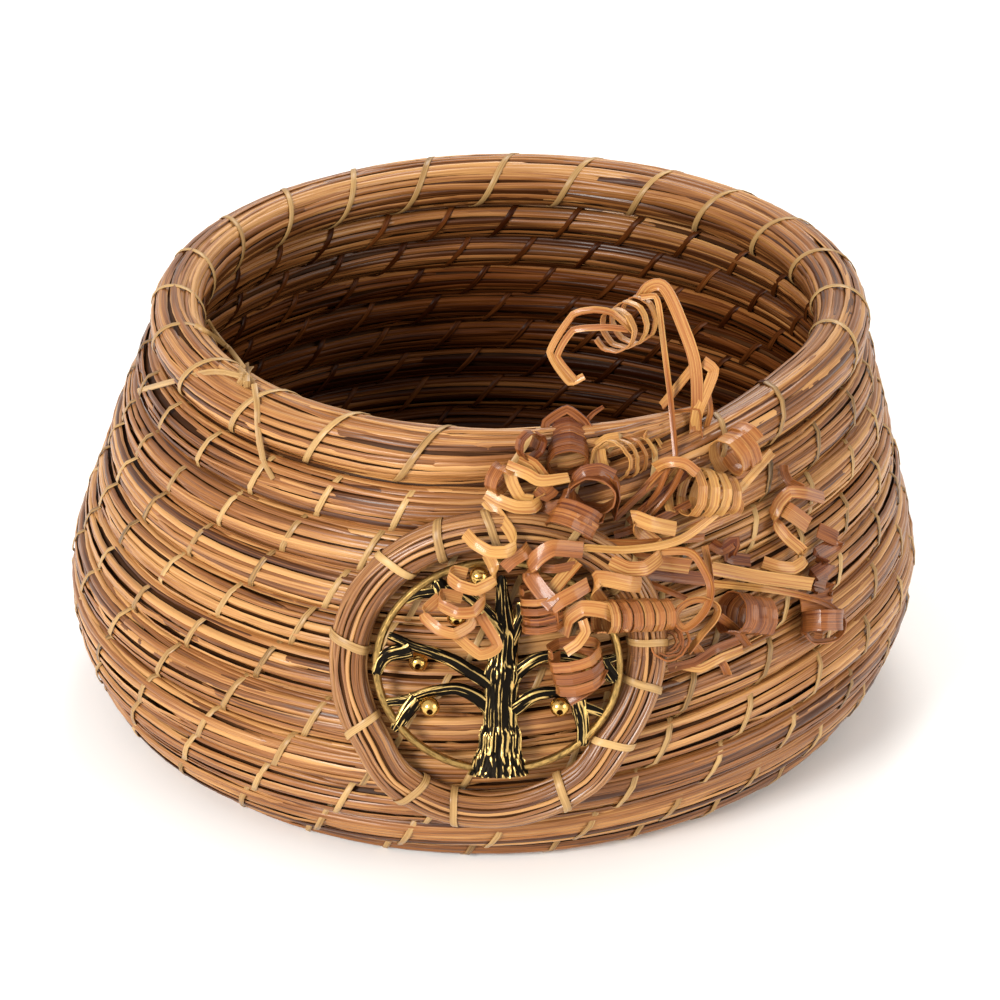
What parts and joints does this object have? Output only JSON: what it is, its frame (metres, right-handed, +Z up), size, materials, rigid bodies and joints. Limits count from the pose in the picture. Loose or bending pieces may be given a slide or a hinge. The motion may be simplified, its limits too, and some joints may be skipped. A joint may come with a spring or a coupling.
{
  "type": "coiled grass basket",
  "caption": "Open coiled grass basket with a thick lashed rim, a ring-framed cast tree pendant on the front and a spray of curled strips.",
  "frame": {"origin": "middle of the base on the surface that it stands on", "axes": "+Z up, -Y towards the front with the pendant, +X to the right when seen from the front"},
  "size_m": [0.1745, 0.1852, 0.1157],
  "materials": {
    "grass": "bundle of long dried grass blades, red brown to tan, satin",
    "straw_thread": "flat straw-coloured sewing thread",
    "ring_grass": "parallel glossy strands",
    "antique_gold": "antiqued casting, dark in the recesses and bright on the ridges",
    "bead_gold": "polished",
    "curled_strip": "dried flat strip with lengthwise ribs, tan to red brown, glossy"
  },
  "bodies": {
    "root": {"grass_coil": "grass", "coil_start_plug": "grass", "rim_thread": "straw_thread", "medallion_ring": "ring_grass", "ring_thread": "straw_thread", "tree_pendant": "antique_gold", "tie_knot": "straw_thread", "tie_tail": "straw_thread", "bead_1": "bead_gold", "bead_2": "bead_gold", "bead_3": "bead_gold", "bead_4": "bead_gold", "bead_5": "bead_gold", "bead_6": "bead_gold", "curl_top_dark": "curled_strip", "curl_top_light": "curled_strip", "curl_left_light": "curled_strip", "curl_middle_dark": "curled_strip", "curl_right_rings": "curled_strip", "curl_rim_right": "curled_strip", "curl_far_right": "curled_strip", "curl_hook": "curled_strip", "curl_low_dark": "curled_strip", "curl_roll": "curled_strip", "curl_zigzag": "curled_strip", "curl_over_ring": "curled_strip", "curl_over_tree": "curled_strip", "curl_brown": "curled_strip", "strip_straight": "curled_strip", "strip_long_arc": "curled_strip", "strip_square_end": "curled_strip", "strip_crinkled": "curled_strip", "strip_upright": "curled_strip", "strip_folded": "curled_strip", "strip_low_arc": "curled_strip", "tendril": "curled_strip"}
  },
  "joints": []
}
